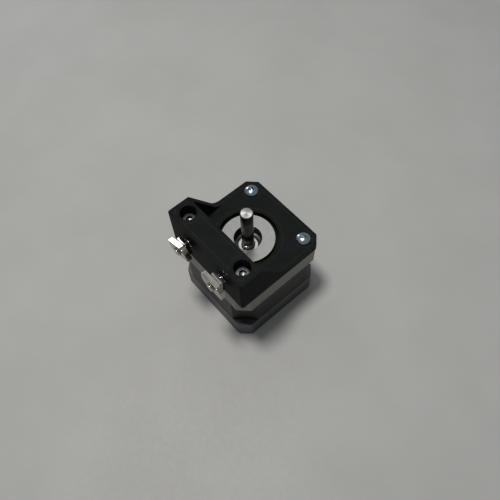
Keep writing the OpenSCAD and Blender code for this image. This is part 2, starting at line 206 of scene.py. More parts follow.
def to_object(bm, name):
    """Makes an object of a mesh in millimetres, with its normals outward, and frees the mesh."""
    bmesh.ops.recalc_face_normals(bm, faces=bm.faces)
    mesh = bpy.data.meshes.new(name)
    bm.to_mesh(mesh)
    bm.free()
    mesh.transform(Matrix.Diagonal((MM, MM, MM, 1)))
    obj = bpy.data.objects.new(name, mesh)
    scene.collection.objects.link(obj)
    return obj


def settle(obj):
    """Turns an object's modifiers into its mesh."""
    graph = bpy.context.evaluated_depsgraph_get()
    mesh = bpy.data.meshes.new_from_object(obj.evaluated_get(graph))
    obj.modifiers.clear()
    obj.data = mesh
    return obj


def carve(name, solids, cuts):
    """One object from bmesh solids joined together, less the cuts."""
    obj = to_object(solids[0], name)
    tools = []
    for bm, how in [(b, "UNION") for b in solids[1:]] + [(b, "DIFFERENCE") for b in cuts]:
        tool = to_object(bm, name + "_tool")
        tools.append(tool)
        step = obj.modifiers.new("step", "BOOLEAN")
        step.operation, step.object, step.solver = how, tool, "EXACT"
    settle(obj)
    for tool in tools:
        mesh = tool.data
        bpy.data.objects.remove(tool)
        bpy.data.meshes.remove(mesh)
    bm = bmesh.new()
    bm.from_mesh(obj.data)
    bmesh.ops.remove_doubles(bm, verts=bm.verts, dist=0.002 * MM)
    bmesh.ops.dissolve_limit(bm, angle_limit=math.radians(0.4), verts=bm.verts, edges=bm.edges)
    bm.to_mesh(obj.data)
    bm.free()
    return obj


def soften(obj, width, segments, wanted=None, sharp=30):
    """Rounds an object's sharp convex edges, or those of them for which wanted(edge) is true."""
    bm = bmesh.new()
    bm.from_mesh(obj.data)
    layers, key = bm.edges.layers.float, "bevel_weight_edge"
    weight = layers.get(key) or layers.new(key)
    limit = math.radians(sharp)
    for edge in bm.edges:
        corner = edge.is_convex and edge.calc_face_angle(0) > limit
        edge[weight] = 1.0 if corner and (wanted is None or wanted(edge)) else 0.0
    bm.to_mesh(obj.data)
    bm.free()
    bevel = obj.modifiers.new("edges", "BEVEL")
    bevel.limit_method, bevel.width, bevel.segments = "WEIGHT", width * MM, segments
    bevel.harden_normals, bevel.miter_outer = False, "MITER_ARC"
    return settle(obj)


def finish_piece(obj, slot, body, stands_for):
    """Gives a piece the material of its slot and its body, and hides the CAD nodes that it stands for."""
    obj.data.polygons.foreach_set("use_smooth", [True] * len(obj.data.polygons))
    obj.data.set_sharp_from_angle(angle=math.radians(28))
    obj.data.materials.clear()
    obj.data.materials.append(MATERIALS[slot])
    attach(obj, body)
    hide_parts(*stands_for)
    # Flat faces stay looking flat beside the rounds that run into them
    even = obj.modifiers.new("even", "WEIGHTED_NORMAL")
    even.keep_sharp = True
    return obj


# ---------- Materials ----------

class Look:
    """A material's nodes. Places are in millimetres, from the object's own coordinates."""

    def __init__(self, name, **sockets):
        self.material = bpy.data.materials.new(name)
        self.material.use_nodes = True
        self.tree = self.material.node_tree
        self.shader = self.tree.nodes["Principled BSDF"]
        for key, value in sockets.items():
            self.shader.inputs[key.replace("_", " ")].default_value = value
        coordinates = self.tree.nodes.new("ShaderNodeTexCoord")
        scale = self.tree.nodes.new("ShaderNodeVectorMath")
        scale.operation = "SCALE"
        scale.inputs["Scale"].default_value = 1 / MM
        self.link(coordinates.outputs["Object"], scale.inputs[0])
        self.place = scale.outputs[0]
        self.facing = coordinates.outputs["Normal"]
        self.normal = None

    def link(self, a, b):
        self.tree.links.new(a, b)

    def put(self, socket, value):
        if isinstance(value, bpy.types.NodeSocket):
            self.link(value, socket)
        else:
            socket.default_value = value

    def math(self, operation, *values):
        node = self.tree.nodes.new("ShaderNodeMath")
        node.operation = operation
        for socket, value in zip(node.inputs, values):
            self.put(socket, value)
        return node.outputs[0]

    def split(self, vector):
        node = self.tree.nodes.new("ShaderNodeSeparateXYZ")
        self.link(vector, node.inputs[0])
        return node.outputs

    def stretch(self, x, y, z):
        node = self.tree.nodes.new("ShaderNodeVectorMath")
        node.operation = "MULTIPLY"
        self.link(self.place, node.inputs[0])
        node.inputs[1].default_value = (x, y, z)
        return node.outputs[0]

    def noise(self, scale, detail=3.0, roughness=0.6, vector=None):
        node = self.tree.nodes.new("ShaderNodeTexNoise")
        self.link(vector or self.place, node.inputs["Vector"])
        node.inputs["Scale"].default_value = scale
        node.inputs["Detail"].default_value = detail
        node.inputs["Roughness"].default_value = roughness
        return node.outputs["Fac"]

    def mottled(self, grain):
        """A fine speckle, and a mix of it with broad patches. grain is the patches' noise scale."""
        patches, speckle = self.noise(grain, 4.0), self.noise(grain * 14, 2.0)
        mixed = self.math("MULTIPLY_ADD", speckle, 0.35, self.math("MULTIPLY", patches, 0.65))
        return speckle, mixed

    def between(self, value, low, high, new_low=0.0, new_high=1.0):
        """Takes low to high smoothly to new_low to new_high, and stays level outside them."""
        node = self.tree.nodes.new("ShaderNodeMapRange")
        node.interpolation_type = "SMOOTHSTEP"
        for socket, number in zip(node.inputs, (value, low, high, new_low, new_high)):
            self.put(socket, number)
        return node.outputs[0]

    def least(self, smallest, *others):
        for other in others:
            smallest = self.math("MINIMUM", smallest, other)
        return smallest

    def either(self, mask, a, b):
        """a where mask is 1, and b where it is 0."""
        rest = self.math("SUBTRACT", 1.0, mask)
        return self.math("ADD", self.math("MULTIPLY", a, mask), self.math("MULTIPLY", b, rest))

    def blend(self, share, a, b):
        """From colour a where share is 0 to colour b where it is 1."""
        node = self.tree.nodes.new("ShaderNodeMix")
        node.data_type = "RGBA"
        self.put(node.inputs["Factor"], share)
        for socket, value in zip((node.inputs[6], node.inputs[7]), (a, b)):
            if isinstance(value, tuple) and len(value) == 3:
                value = (*value, 1.0)
            self.put(socket, value)
        return node.outputs[2]

    def bump(self, height, depth, strength=1.0):
        """Adds relief. height is 0 to 1 and depth is in millimetres."""
        node = self.tree.nodes.new("ShaderNodeBump")
        node.inputs["Strength"].default_value = strength
        node.inputs["Distance"].default_value = depth * MM
        self.link(height, node.inputs["Height"])
        if self.normal:
            self.link(self.normal, node.inputs["Normal"])
        self.normal = node.outputs[0]
        self.link(self.normal, self.shader.inputs["Normal"])

    def colour(self, value):
        self.put(self.shader.inputs["Base Color"], value)

    def rough(self, value):
        self.put(self.shader.inputs["Roughness"], value)

    def radius(self, centre=(0, 0)):
        """Distance from a vertical axis."""
        x, y, _ = self.split(self.place)
        dx = self.math("SUBTRACT", x, centre[0])
        dy = self.math("SUBTRACT", y, centre[1])
        squares = self.math("ADD", self.math("POWER", dx, 2.0), self.math("POWER", dy, 2.0))
        return self.math("SQRT", squares)

    def lines(self, value, pitch):
        """0 to 1 and back in every pitch."""
        turn = self.math("MULTIPLY", value, math.tau / pitch)
        return self.math("MULTIPLY_ADD", self.math("SINE", turn), 0.5, 0.5)

    def around(self):
        """Makes the shader's brushing run round Z."""
        node = self.tree.nodes.new("ShaderNodeTangent")
        node.direction_type, node.axis = "RADIAL", "Z"
        self.link(node.outputs[0], self.shader.inputs["Tangent"])


def metal(name, dark, light, rough, grain=0.6, relief=0.004):
    """A metal whose colour and gloss vary with a fine grain."""
    look = Look(name, Metallic=1.0)
    speckle, mixed = look.mottled(grain)
    look.colour(look.blend(look.between(mixed, 0.3, 0.7), dark, light))
    look.rough(look.between(mixed, 0.25, 0.75, *rough))
    if relief:
        look.bump(speckle, relief)
    return look


def plastic(name, dark, light, rough):
    """A moulded plastic with faint patches of colour and a fine grain."""
    look = Look(name)
    patches, fine = look.noise(0.8, 3.0), look.noise(9.6, 2.0)
    look.colour(look.blend(look.between(patches, 0.3, 0.7), dark, light))
    look.rough(look.between(fine, 0.3, 0.7, *rough))
    look.bump(fine, 0.01, 0.6)
    return look


def print_edge(look):
    """Distance from a point on the bracket's level faces to the nearest edge or hole."""
    x, y, z = look.split(look.place)

    def from_hole(x_at, y_at, r):
        return look.math("SUBTRACT", look.radius((x_at, y_at)), r)

    to_side = look.math("SUBTRACT", HALF_W, look.math("ABSOLUTE", x))
    wells = [from_hole(s * SCREW_AT, -SCREW_AT, COUNTERBORE_R) for s in (-1, 1)]
    bar = look.least(look.math("ADD", y, HALF_W), look.math("SUBTRACT", BAR_IN_Y, y), to_side, *wells)
    across = look.math("ADD", look.math("ABSOLUTE", x), y)
    to_corner = look.math("SUBTRACT", 2 * HALF_W - PLATE_CHAMFER, across)
    to_corner = look.math("MULTIPLY", to_corner, math.sqrt(0.5))
    holes = [from_hole(0, 0, PILOT_HOLE_R)]
    holes += [from_hole(s * SCREW_AT, SCREW_AT, M3_CLEARANCE_R) for s in (-1, 1)]
    plate = look.least(to_side, look.math("SUBTRACT", HALF_W, y), to_corner, *holes)
    on_bar = look.math("GREATER_THAN", z, PLATE_TOP + 2)
    return look.either(on_bar, bar, plate)


def print_look():
    """Black filament: layer lines on walls, and outlines then hatching on level faces."""
    look = Look("black_filament", Specular_IOR_Level=0.035)
    x, y, z = look.split(look.place)
    level = look.between(look.math("ABSOLUTE", look.split(look.facing)[2]), 0.8, 0.95)
    edge = print_edge(look)
    outlined = 3.25 * BEAD
    outlines = look.lines(edge, BEAD)
    hatch = look.lines(look.math("MULTIPLY", look.math("ADD", x, y), math.sqrt(0.5)), BEAD)
    flat = look.either(look.math("GREATER_THAN", edge, outlined), hatch, outlines)
    off_seam = look.between(look.math("ABSOLUTE", look.math("SUBTRACT", edge, outlined)), 0.0, 0.22)
    flat = look.math("MULTIPLY", flat, off_seam)
    wobble = look.noise(0.25, 2.0)
    walls = look.lines(look.math("MULTIPLY_ADD", wobble, 0.06, z), LAYER)
    relief = look.either(level, flat, walls)
    grain = look.noise(5.0, 3.0)
    patches = look.noise(0.16, 3.0)
    tone = look.math("MULTIPLY_ADD", relief, 0.3, look.math("MULTIPLY", patches, 0.7))
    tone = look.between(tone, 0.2, 0.8)
    top = look.blend(tone, (0.0070, 0.0078, 0.0080), (0.0145, 0.0155, 0.0155))
    top = look.blend(off_seam, (0.024, 0.026, 0.027), top)
    # Painted shade: the walls are a darker copy of the level faces' colours.
    shaded_wall = look.blend(tone, (0.0050, 0.0054, 0.0056), (0.0110, 0.0118, 0.0118))
    look.colour(look.blend(level, shaded_wall, top))
    look.rough(look.between(grain, 0.3, 0.7, 0.46, 0.62))
    look.bump(relief, 0.02, 0.5)
    look.bump(grain, 0.012, 0.5)
    return look


def front_alloy_look():
    """An olive grey casting with its pilot disc turned bright, and painted shade in the recess and round
    the pilot.
    """
    look = Look("machined_alloy", Metallic=1.0)
    speckle, mixed = look.mottled(0.5)
    share = look.between(mixed, 0.3, 0.7)
    radius = look.radius()
    cast_and_painted_shade = look.blend(share, (0.180, 0.183, 0.165), (0.228, 0.231, 0.208))
    # Painted shade: the casting is darkened inside the recess.
    cast_and_painted_shade = look.blend(look.between(radius, RECESS_R + 0.2, RECESS_R + 0.5), (0.030, 0.030, 0.028), cast_and_painted_shade)
    # Painted shade: the ring of cap face between the pilot and the bracket's hole is darkened.
    inner = look.between(radius, PILOT_R - 0.3, PILOT_R - 0.1)
    outer = look.between(radius, PILOT_HOLE_R, PILOT_HOLE_R + 0.3, 1.0, 0.0)
    cast_and_painted_shade = look.blend(look.math("MULTIPLY", inner, outer), cast_and_painted_shade, (0.012, 0.012, 0.011))
    turned_face = look.blend(share, (0.365, 0.365, 0.345), (0.415, 0.415, 0.39))
    faced = look.between(look.split(look.facing)[2], 0.6, 0.9)
    raised = look.between(look.split(look.place)[2], FACE_Z + 0.5, FACE_Z + 1.0)
    faced = look.math("MULTIPLY", faced, raised)
    look.colour(look.blend(faced, cast_and_painted_shade, turned_face))
    smoothest = look.math("MULTIPLY_ADD", faced, -0.19, 0.42)
    roughest = look.math("MULTIPLY_ADD", faced, -0.26, 0.52)
    look.rough(look.between(mixed, 0.25, 0.75, smoothest, roughest))
    look.bump(speckle, 0.008)
    look.bump(look.math("MULTIPLY", look.lines(radius, 0.16), faced), 0.004, 0.6)
    return look


def lamination_look():
    """Black coated sheets, half a millimetre each."""
    look = Look("black_laminations", Specular_IOR_Level=0.2, Metallic=0.12)
    walls = look.between(look.math("ABSOLUTE", look.split(look.facing)[2]), 0.5, 0.8, 1.0, 0.0)
    sheets = look.lines(look.split(look.place)[2], 0.5)
    bands = look.noise(1.0, 2.0, vector=look.stretch(0.05, 0.05, 2.0))
    patches = look.noise(0.3, 3.0)
    tone = look.math("MULTIPLY_ADD", bands, 0.5, look.math("MULTIPLY", patches, 0.5))
    look.colour(look.blend(look.between(tone, 0.3, 0.7), (0.004, 0.004, 0.005), (0.011, 0.011, 0.013)))
    look.rough(look.between(look.noise(6.0), 0.3, 0.7, 0.34, 0.5))
    look.bump(look.math("MULTIPLY", sheets, walls), 0.03, 0.8)
    look.bump(look.noise(9.0), 0.01, 0.5)
    return look


def ground_steel_look():
    """A ground side with fine rings round it, darkened as painted shade, and a bright cut end."""
    look = Look("ground_shaft", Metallic=1.0, Anisotropic=0.6)
    patches = look.noise(0.8, 4.0)
    share = look.between(patches, 0.3, 0.7)
    faced = look.between(look.split(look.facing)[2], 0.6, 0.95)
    # Painted shade: the side's colour is a darker copy of the cut end's steel.
    side = look.blend(share, (0.135, 0.136, 0.138), (0.20, 0.202, 0.205))
    end = look.blend(share, (0.42, 0.42, 0.40), (0.54, 0.54, 0.52))
    look.colour(look.blend(faced, side, end))
    look.rough(look.math("MULTIPLY_ADD", faced, 0.22, look.between(patches, 0.25, 0.75, 0.18, 0.3)))
    scratches = look.noise(1.0, 2.0, vector=look.stretch(0.3, 0.3, 22.0))
    look.bump(look.math("MULTIPLY", scratches, look.math("SUBTRACT", 1.0, faced)), 0.004, 0.6)
    look.bump(look.math("MULTIPLY", look.lines(look.radius(), 0.22), faced), 0.006, 0.8)
    look.around()
    return look


def winding_look():
    """Enamelled wire: turns a third of a millimetre apart."""
    look = Look("enamelled_wire", Metallic=0.85, Coat_Weight=0.4, Coat_Roughness=0.2)
    patches = look.noise(0.8, 3.0)
    look.colour(look.blend(look.between(patches, 0.3, 0.7), (0.42, 0.13, 0.045), (0.62, 0.22, 0.08)))
    look.rough(look.between(patches, 0.3, 0.7, 0.28, 0.42))
    look.bump(look.lines(look.radius(), 0.34), 0.09, 0.9)
    return look


def rotor_steel_look():
    """Bare steel sheets, half a millimetre each."""
    look = metal("rotor_sheets", (0.19, 0.19, 0.20), (0.30, 0.30, 0.31), (0.32, 0.5), 0.7, 0.0)
    look.bump(look.lines(look.split(look.place)[2], 0.5), 0.02, 0.7)
    return look


# The record's slot, then the look's name, its darkest and lightest colour and its least and most
# roughness. Some metals add their grain and relief.
PLASTICS = {
    "liner_nylon": ("liner_nylon_look", (0.70, 0.67, 0.58), (0.80, 0.77, 0.68), (0.4, 0.55)),
    "connector_nylon": ("connector_nylon_look", (0.74, 0.71, 0.62), (0.82, 0.80, 0.72), (0.32, 0.46)),
    "board_laminate": ("board_look", (0.018, 0.085, 0.035), (0.03, 0.13, 0.055), (0.25, 0.4)),
}
METALS = {
    # Painted shade: the rear casting is darker and cooler than the front cap's, standing for shade near the
    # floor.
    "rear_alloy": ("cast_alloy", (0.112, 0.104, 0.117), (0.150, 0.137, 0.155), (0.42, 0.56), 0.35, 0.012),
    "magnet_alloy": ("magnet_look", (0.06, 0.06, 0.066), (0.11, 0.11, 0.12), (0.4, 0.6)),
    "spacer_brass": ("brass_look", (0.50, 0.36, 0.12), (0.62, 0.47, 0.18), (0.24, 0.4)),
    "bearing_steel": ("bearing_look", (0.52, 0.53, 0.54), (0.66, 0.67, 0.68), (0.12, 0.24)),
    # Painted shade: the shields are far darker than their steel, standing for shade in the recess.
    "shield_steel": ("shield_look", (0.045, 0.045, 0.047), (0.09, 0.09, 0.092), (0.28, 0.42)),
    "spring_steel": ("spring_look", (0.28, 0.28, 0.30), (0.40, 0.40, 0.42), (0.28, 0.42)),
    "case_screw_steel": ("case_screw_look", (0.34, 0.34, 0.35), (0.48, 0.48, 0.49), (0.26, 0.42)),
    "pin_tin": ("tin_look", (0.58, 0.56, 0.49), (0.72, 0.70, 0.62), (0.2, 0.34)),
    "zinc_plate": ("zinc_look", (0.36, 0.44, 0.49), (0.54, 0.63, 0.68), (0.16, 0.32), 1.2),
    "socket_screw_steel": ("socket_screw_look", (0.13, 0.133, 0.137), (0.22, 0.224, 0.23), (0.26, 0.42)),
    "bolt_nickel": ("bolt_look", (0.40, 0.385, 0.355), (0.52, 0.50, 0.46), (0.14, 0.26)),
    "tee_nickel": ("tee_nut_look", (0.34, 0.32, 0.285), (0.46, 0.44, 0.395), (0.10, 0.2), 0.7, 0.002),
}
looks = {
    "black_print": print_look(),
    "front_alloy": front_alloy_look(),
    "black_lamination": lamination_look(),
    "shaft_steel": ground_steel_look(),
    "coil_copper": winding_look(),
    "rotor_steel": rotor_steel_look(),
}
looks.update({slot: plastic(*values) for slot, values in PLASTICS.items()})
looks.update({slot: metal(*values) for slot, values in METALS.items()})
MATERIALS = {slot: look.material for slot, look in looks.items()}
node_slots = {part["node"]: part["material_slot"] for part in frame["record"]["subparts"]}


# ---------- Bracket ----------

def gusset_profile():
    """The gusset's side view as the printer leaves it, one stair for each layer."""
    foot_y = GUSSET_TOE_Y - GUSSET_FILLET_R * math.sin(GUSSET_ANGLE)
    foot_z = PLATE_TOP + GUSSET_FILLET_R * (1 - math.cos(GUSSET_ANGLE))

    def reach(z):
        """How far out the gusset comes at that height."""
        if z >= foot_z:
            return foot_y - (z - foot_z) / math.tan(GUSSET_ANGLE)
        drop = PLATE_TOP + GUSSET_FILLET_R - z
        return GUSSET_TOE_Y - math.sqrt(max(0.0, GUSSET_FILLET_R ** 2 - drop ** 2))

    points = [(BAR_IN_Y - OVER, FACE_Z + OVER), (GUSSET_TOE_Y, FACE_Z + OVER)]
    z = PLATE_TOP
    while z < BAR_TOP - LAYER / 2 and reach(z + LAYER / 2) > BAR_IN_Y + 0.05:
        y = reach(z + LAYER / 2)
        points += [(y, z), (y, z + LAYER)]
        z += LAYER
    points.append((BAR_IN_Y - OVER, z))
    return points


def build_bracket():
    h, c, far_r = HALF_W, PLATE_CHAMFER, 1.0
    plate = [(-h, BAR_IN_Y - OVER), (h, BAR_IN_Y - OVER), (h, h - c), (h - c, h), (c - h, h), (-h, h - c)]
    plate = rounded(plate, [0, 0, far_r, far_r, far_r, far_r], 4)
    bar = [(-h, -h), (h, -h), (h, BAR_IN_Y), (-h, BAR_IN_Y)]
    bar = rounded(bar, [BAR_CORNER_R, BAR_CORNER_R, 0, 0], 8)
    solids = [prism(plate, FACE_Z, PLATE_TOP), prism(bar, FACE_Z, BAR_TOP)]
    for x0 in (-h, h - GUSSET_T):
        solids.append(prism(gusset_profile(), x0, x0 + GUSSET_T, "X"))
    cuts = [prism(circle(PILOT_HOLE_R, 96), FACE_Z - OVER, PLATE_TOP)]
    for side in (-1, 1):
        far, near = (side * SCREW_AT, SCREW_AT), (side * SCREW_AT, -SCREW_AT)
        cuts += [
            prism(circle(M3_CLEARANCE_R, 40, far), FACE_Z - OVER, PLATE_TOP + OVER),
            prism(circle(M3_CLEARANCE_R, 40, near), FACE_Z - OVER, COUNTERBORE_Z + OVER),
            prism(circle(COUNTERBORE_R, 64, near), COUNTERBORE_Z, BAR_TOP + OVER),
            prism(circle(M4_CLEARANCE_R, 48, (side * TEE_X, TEE_Z)), -h - OVER, BAR_IN_Y + OVER, "Y"),
        ]
    obj = carve("bracket_print", solids, cuts)

    def wanted(edge):
        """Every edge but the gussets' stairs."""
        for v in edge.verts:
            if v.co.y / MM > BAR_IN_Y + 0.01 and v.co.z / MM > PLATE_TOP + 0.01:
                return False
        return True

    soften(obj, 0.22, 2, wanted)
    return finish_piece(obj, "black_print", ROOT, ["printed_bracket"])


# ---------- Motor case ----------

def cap_block(low, high):
    return prism(rounded(octagon(HALF_W, CAP_CHAMFER), CAP_CORNER_R, 5), low, high)


def winding_space(low, high):
    """The ring-shaped hollow in a cap, round the ends of the windings."""
    inner, outer = WINDING_IN_R, WINDING_OUT_R
    return turned([(inner, low), (outer, low), (outer, high), (inner, high)], 96, True)


def build_front_cap():
    solids = [cap_block(STACK_HIGH, FACE_Z), prism(circle(PILOT_R, 128), FACE_Z - OVER, CAP_TOP)]
    winding_h = 3.5
    cuts = [
        winding_space(STACK_HIGH - OVER, STACK_HIGH + winding_h),
        prism(circle(BEARING_R, 96), STACK_HIGH - OVER, FRONT_BEARING_Z + BEARING_W),
        prism(circle(RECESS_R, 96), STACK_HIGH, CAP_TOP + OVER),
    ]
    for at in CASE_SCREWS:
        cuts.append(prism(circle(M3[0], 32, at), STACK_HIGH - OVER, FACE_Z + OVER))
    obj = carve("front_cap_casting", solids, cuts)
    soften(obj, 0.25, 3, lambda e: max(v.co.z for v in e.verts) / MM > STACK_HIGH - 0.01)
    return finish_piece(obj, "front_alloy", ROOT, ["front_end_cap"])


def build_rear_cap():
    socket_low, socket_high = box_mm("connector_socket")
    board_low = box_mm("lead_board")[0]
    floor_z, winding_z, rotor_space_r = 1.5, 3.0, 10.6
    notch = [(socket_low.x, board_low.y), (socket_high.x, board_low.y),
             (socket_high.x, HALF_W + OVER), (socket_low.x, HALF_W + OVER)]
    cuts = [
        winding_space(winding_z, STACK_LOW + OVER),
        prism(circle(rotor_space_r, 96), REAR_BEARING_Z + BEARING_W, STACK_LOW + OVER),
        prism(circle(BEARING_R, 96), floor_z, STACK_LOW),
        prism(notch, socket_low.z, socket_high.z),
    ]
    for at in CASE_SCREWS:
        cuts.append(prism(circle(M3_CLEARANCE_R, 32, at), -OVER, STACK_LOW + OVER))
        cuts.append(prism(circle(CASE_COUNTERBORE_R, 48, at), -OVER, CASE_COUNTERBORE_Z))
    obj = carve("rear_cap_casting", [cap_block(0, STACK_LOW)], cuts)
    soften(obj, 0.35, 3)
    return finish_piece(obj, "rear_alloy", ROOT, ["rear_end_cap"])


# ---------- Shaft and bearings ----------

def build_shaft():
    """The shaft, with a shallow groove just above the front bearing."""
    r, end_chamfer, groove = SHAFT_R, 0.3, 0.3
    groove_low = FRONT_BEARING_Z + BEARING_W + 0.2
    groove_high = groove_low + 1.5
    corners = [
        (0.0, SHAFT_LOW), (r, SHAFT_LOW), (r, groove_low), (r - groove, groove_low + 0.1),
        (r - groove, groove_high - 0.1), (r, groove_high), (r, SHAFT_HIGH - end_chamfer),
        (r - end_chamfer, SHAFT_HIGH), (0.0, SHAFT_HIGH)]
    profile = rounded(corners, [0, 0.25, 0.05, 0.05, 0.05, 0.05, 0.12, 0.12, 0], 3)
    profile[0] = Vector((AXIS_R, SHAFT_LOW))
    profile[-1] = Vector((AXIS_R, SHAFT_HIGH))
    obj = to_object(turned(profile, 96), "shaft")
    return finish_piece(obj, "shaft_steel", ROTOR, ["rotor_shaft"])


def race_profile(outer, z):
    """A bearing ring's section above z, with its ball track: the outer ring's or the inner ring's."""
    out, top, middle = (1 if outer else -1), z + BEARING_W, z + BEARING_W / 2
    half_arc, steps = 42, 8
    track = []
    for k in range(steps + 1):
        angle = math.radians(-half_arc + 2 * half_arc * k / steps)
        r = BALL_PITCH_R + out * BALL_TRACK_R * math.cos(angle)
        track.append((r, middle + BALL_TRACK_R * math.sin(angle)))
    if outer:
        r_in, r_out = OUTER_RING_IN_R, BEARING_R
        corners = [(r_in, z), (r_out, z), (r_out, top), (r_in, top)]
        track = [p for p in reversed(track) if p[0] > r_in + 0.01]
        return rounded(corners, [0.15, 0.4, 0.4, 0.15], 3) + track
    r_in, r_out = SHAFT_R, INNER_RING_OUT_R
    corners = [(r_out, top), (r_in, top), (r_in, z), (r_out, z)]
    track = [p for p in track if p[0] < r_out - 0.01]
    return rounded(corners, [0.15, 0.3, 0.3, 0.15], 3) + track


def shield_profile(low, up):
    """A dished shield's section. up is 1 where its dish stands up, and -1 where it hangs down."""
    thick, dish = 0.22, 0.08
    level = [(4.4, 0.0), (5.0, 0.0), (5.2, dish), (5.9, dish), (6.1, 0.0), (OUTER_RING_IN_R, 0.0)]
    if up < 0:
        level = [(r, dish - dz) for r, dz in level]
    return [(r, low + dz) for r, dz in level] + [(r, low + thick + dz) for r, dz in reversed(level)]


def build_bearings():
    """Both bearings' rings and shields, with their edges rounded and the shields dished."""
    for end, z in (("front", FRONT_BEARING_Z), ("rear", REAR_BEARING_Z)):
        for part, body in (("outer_ring", ROOT), ("inner_ring", ROTOR)):
            profile = race_profile(part == "outer_ring", z)
            obj = to_object(turned(profile, 96, True), f"{end}_{part}")
            finish_piece(obj, "bearing_steel", body, [f"{end}_bearing_{part}"])
        bm = bmesh.new()
        lathe(bm, shield_profile(z + 0.1, -1), 96, True)
        lathe(bm, shield_profile(z + BEARING_W - 0.4, 1), 96, True)
        obj = to_object(bm, f"{end}_shields")
        finish_piece(obj, "shield_steel", ROOT, [f"{end}_bearing_shields"])


# ---------- Screws ----------

def threaded(bm, thread, low, high, steps=32):
    """A screw thread with its ends closed, from low to high along Z."""
    radius, pitch, depth = thread
    rings_per_turn = 6
    count = int(round((high - low) / pitch * rings_per_turn))
    rows = []
    for k in range(count + 1):
        z = low + (high - low) * k / count
        fade = min(1.0, (z - low) / pitch, (high - z) / pitch)
        row = []
        for i in range(steps):
            angle = i * math.tau / steps
            phase = (z / pitch - angle / math.tau) % 1.0
            wave = abs(2 * phase - 1)
            r = radius - depth * (1 - min(1.0, max(0.0, wave * 1.3 - 0.1)) * fade)
            row.append(Vector((r * math.cos(angle), r * math.sin(angle), z)))
        rows.append(row)
    skin(bm, rows)


def placed(bm, at, turn=0.0, tilt=None):
    """Turns a solid about Z, tilts it and moves it to its place."""
    matrix = Matrix.Translation(Vector(at))
    if tilt is not None:
        matrix = matrix @ tilt
    matrix = matrix @ Matrix.Rotation(turn, 4, "Z")
    bmesh.ops.transform(bm, matrix=matrix, verts=bm.verts)
    return bm


def merge(obj, other):
    """Puts another object's mesh into obj."""
    bm = bmesh.new()
    bm.from_mesh(obj.data)
    bm.from_mesh(other.data)
    bm.to_mesh(obj.data)
    bm.free()
    mesh = other.data
    bpy.data.objects.remove(other)
    bpy.data.meshes.remove(mesh)


def pan_head(r, h, dome_r):
    """A domed head from z = 0 up, with a small round at its rim."""
    foot, steps = 0.12, 10
    top = h - dome_r
    rim = math.asin(min(1.0, r / dome_r))
    points = [(AXIS_R, 0.0), (r - foot, 0.0), (r, foot), (r, top + dome_r * math.cos(rim) - foot)]
    for k in range(steps + 1):
        angle = rim * (1 - k / steps) * 0.985
        points.append((max(AXIS_R, dome_r * math.sin(angle)), top + dome_r * math.cos(angle)))
    return turned(points, 72)


def cross_cutter(length, width, depth, top):
    """A cross-head recess: two tapering bars that cross, and a cone in the middle."""
    floor, above = top - depth, top + 0.6
    cutters = []
    for turn in (0, math.pi / 2):
        rows = []
        for z, reach, half in ((floor, 0.175 * length, 0.32 * width), (above, 0.56 * length, 0.62 * width)):
            corners = ((-reach, -half), (reach, -half), (reach, half), (-reach, half))
            rows.append([Vector((x, y, z)) for x, y in corners])
        bm = bmesh.new()
        skin(bm, rows)
        cutters.append(placed(bm, (0, 0, 0), turn))
    cone = [(AXIS_R, floor - 0.35), (0.62, floor + 0.25), (1.12, above), (AXIS_R, above)]
    cutters.append(turned(cone, 24))
    return cutters


def build_pan_screw(side, name, node, turn):
    r, h, dome_r, length = 2.8, 2.2, 3.9, 5.9
    obj = carve(name, [pan_head(r, h, dome_r)], cross_cutter(3.2, 0.7, 1.3, h))
    soften(obj, 0.05, 2, lambda e: min(v.co.z for v in e.verts) / MM > 0.6, 24)
    shank = bmesh.new()
    threaded(shank, M3, -length, 0.02)
    merge(obj, to_object(shank, name + "_thread"))
    move = Matrix.Translation(Vector((side * SCREW_AT, SCREW_AT, PLATE_TOP)) * MM)
    obj.data.transform(move @ Matrix.Rotation(turn, 4, "Z"))
    return finish_piece(obj, "zinc_plate", ROOT, [node])


def ring_at(radius, z, steps=96):
    """A ring of points at height z. radius is a number, or a function of the angle."""
    points = []
    for i in range(steps):
        angle = i * math.tau / steps
        r = radius(angle) if callable(radius) else radius
        points.append(Vector((r * math.cos(angle), r * math.sin(angle), z)))
    return points


def hexagon_at(across, z, grow=0.0):
    """A hexagon with its sides moved out by grow."""
    return ring_at(lambda angle: hexagon_radius(across, angle) + grow, z)


def socket_rings(r, h, across, depth, knurl):
    """Rings of a socket head: up its side, over its rim, in to the hexagon and down to its floor."""
    edge, lip, steps = 0.25, 0.12, 96

    def side(angle):
        return r - (knurl if int(round(angle / math.tau * steps)) % 2 else 0.0)

    def half_round(angle):
        """Halfway between the hexagon's mouth and a circle round it."""
        return (hexagon_radius(across, angle) + lip) * 0.5 + (across / 2 + lip * 3) * 0.5

    rows = [ring_at(r - 0.25, 0.0), ring_at(r - 0.05, 0.08)]
    rows += [ring_at(side, 0.3), ring_at(side, h - edge - 0.15)]
    for k in range(4):
        angle = math.pi / 2 * k / 3
        rows.append(ring_at(r - edge + edge * math.cos(angle), h - edge + edge * math.sin(angle)))
    rows.append(ring_at(half_round, h))
    rows.append(hexagon_at(across, h, lip))
    rows.append(hexagon_at(across, h - lip))
    rows.append(hexagon_at(across, h - depth))
    rows.append(ring_at(0.55 * across / 2, h - depth - 0.25))
    rows.append(ring_at(0.002, h - depth - 0.4))
    return rows


def build_bar_screw(side, name, node):
    r, h, across, depth, length = 2.75, 3.0, 2.5, 1.5, 15.95
    bm = bmesh.new()
    skin(bm, socket_rings(r, h, across, depth, 0.05))
    threaded(bm, M3, -length, -AXIS_R)
    placed(bm, (side * SCREW_AT, -SCREW_AT, COUNTERBORE_Z), 0.3 * side)
    return finish_piece(to_object(bm, name), "socket_screw_steel", ROOT, [node])


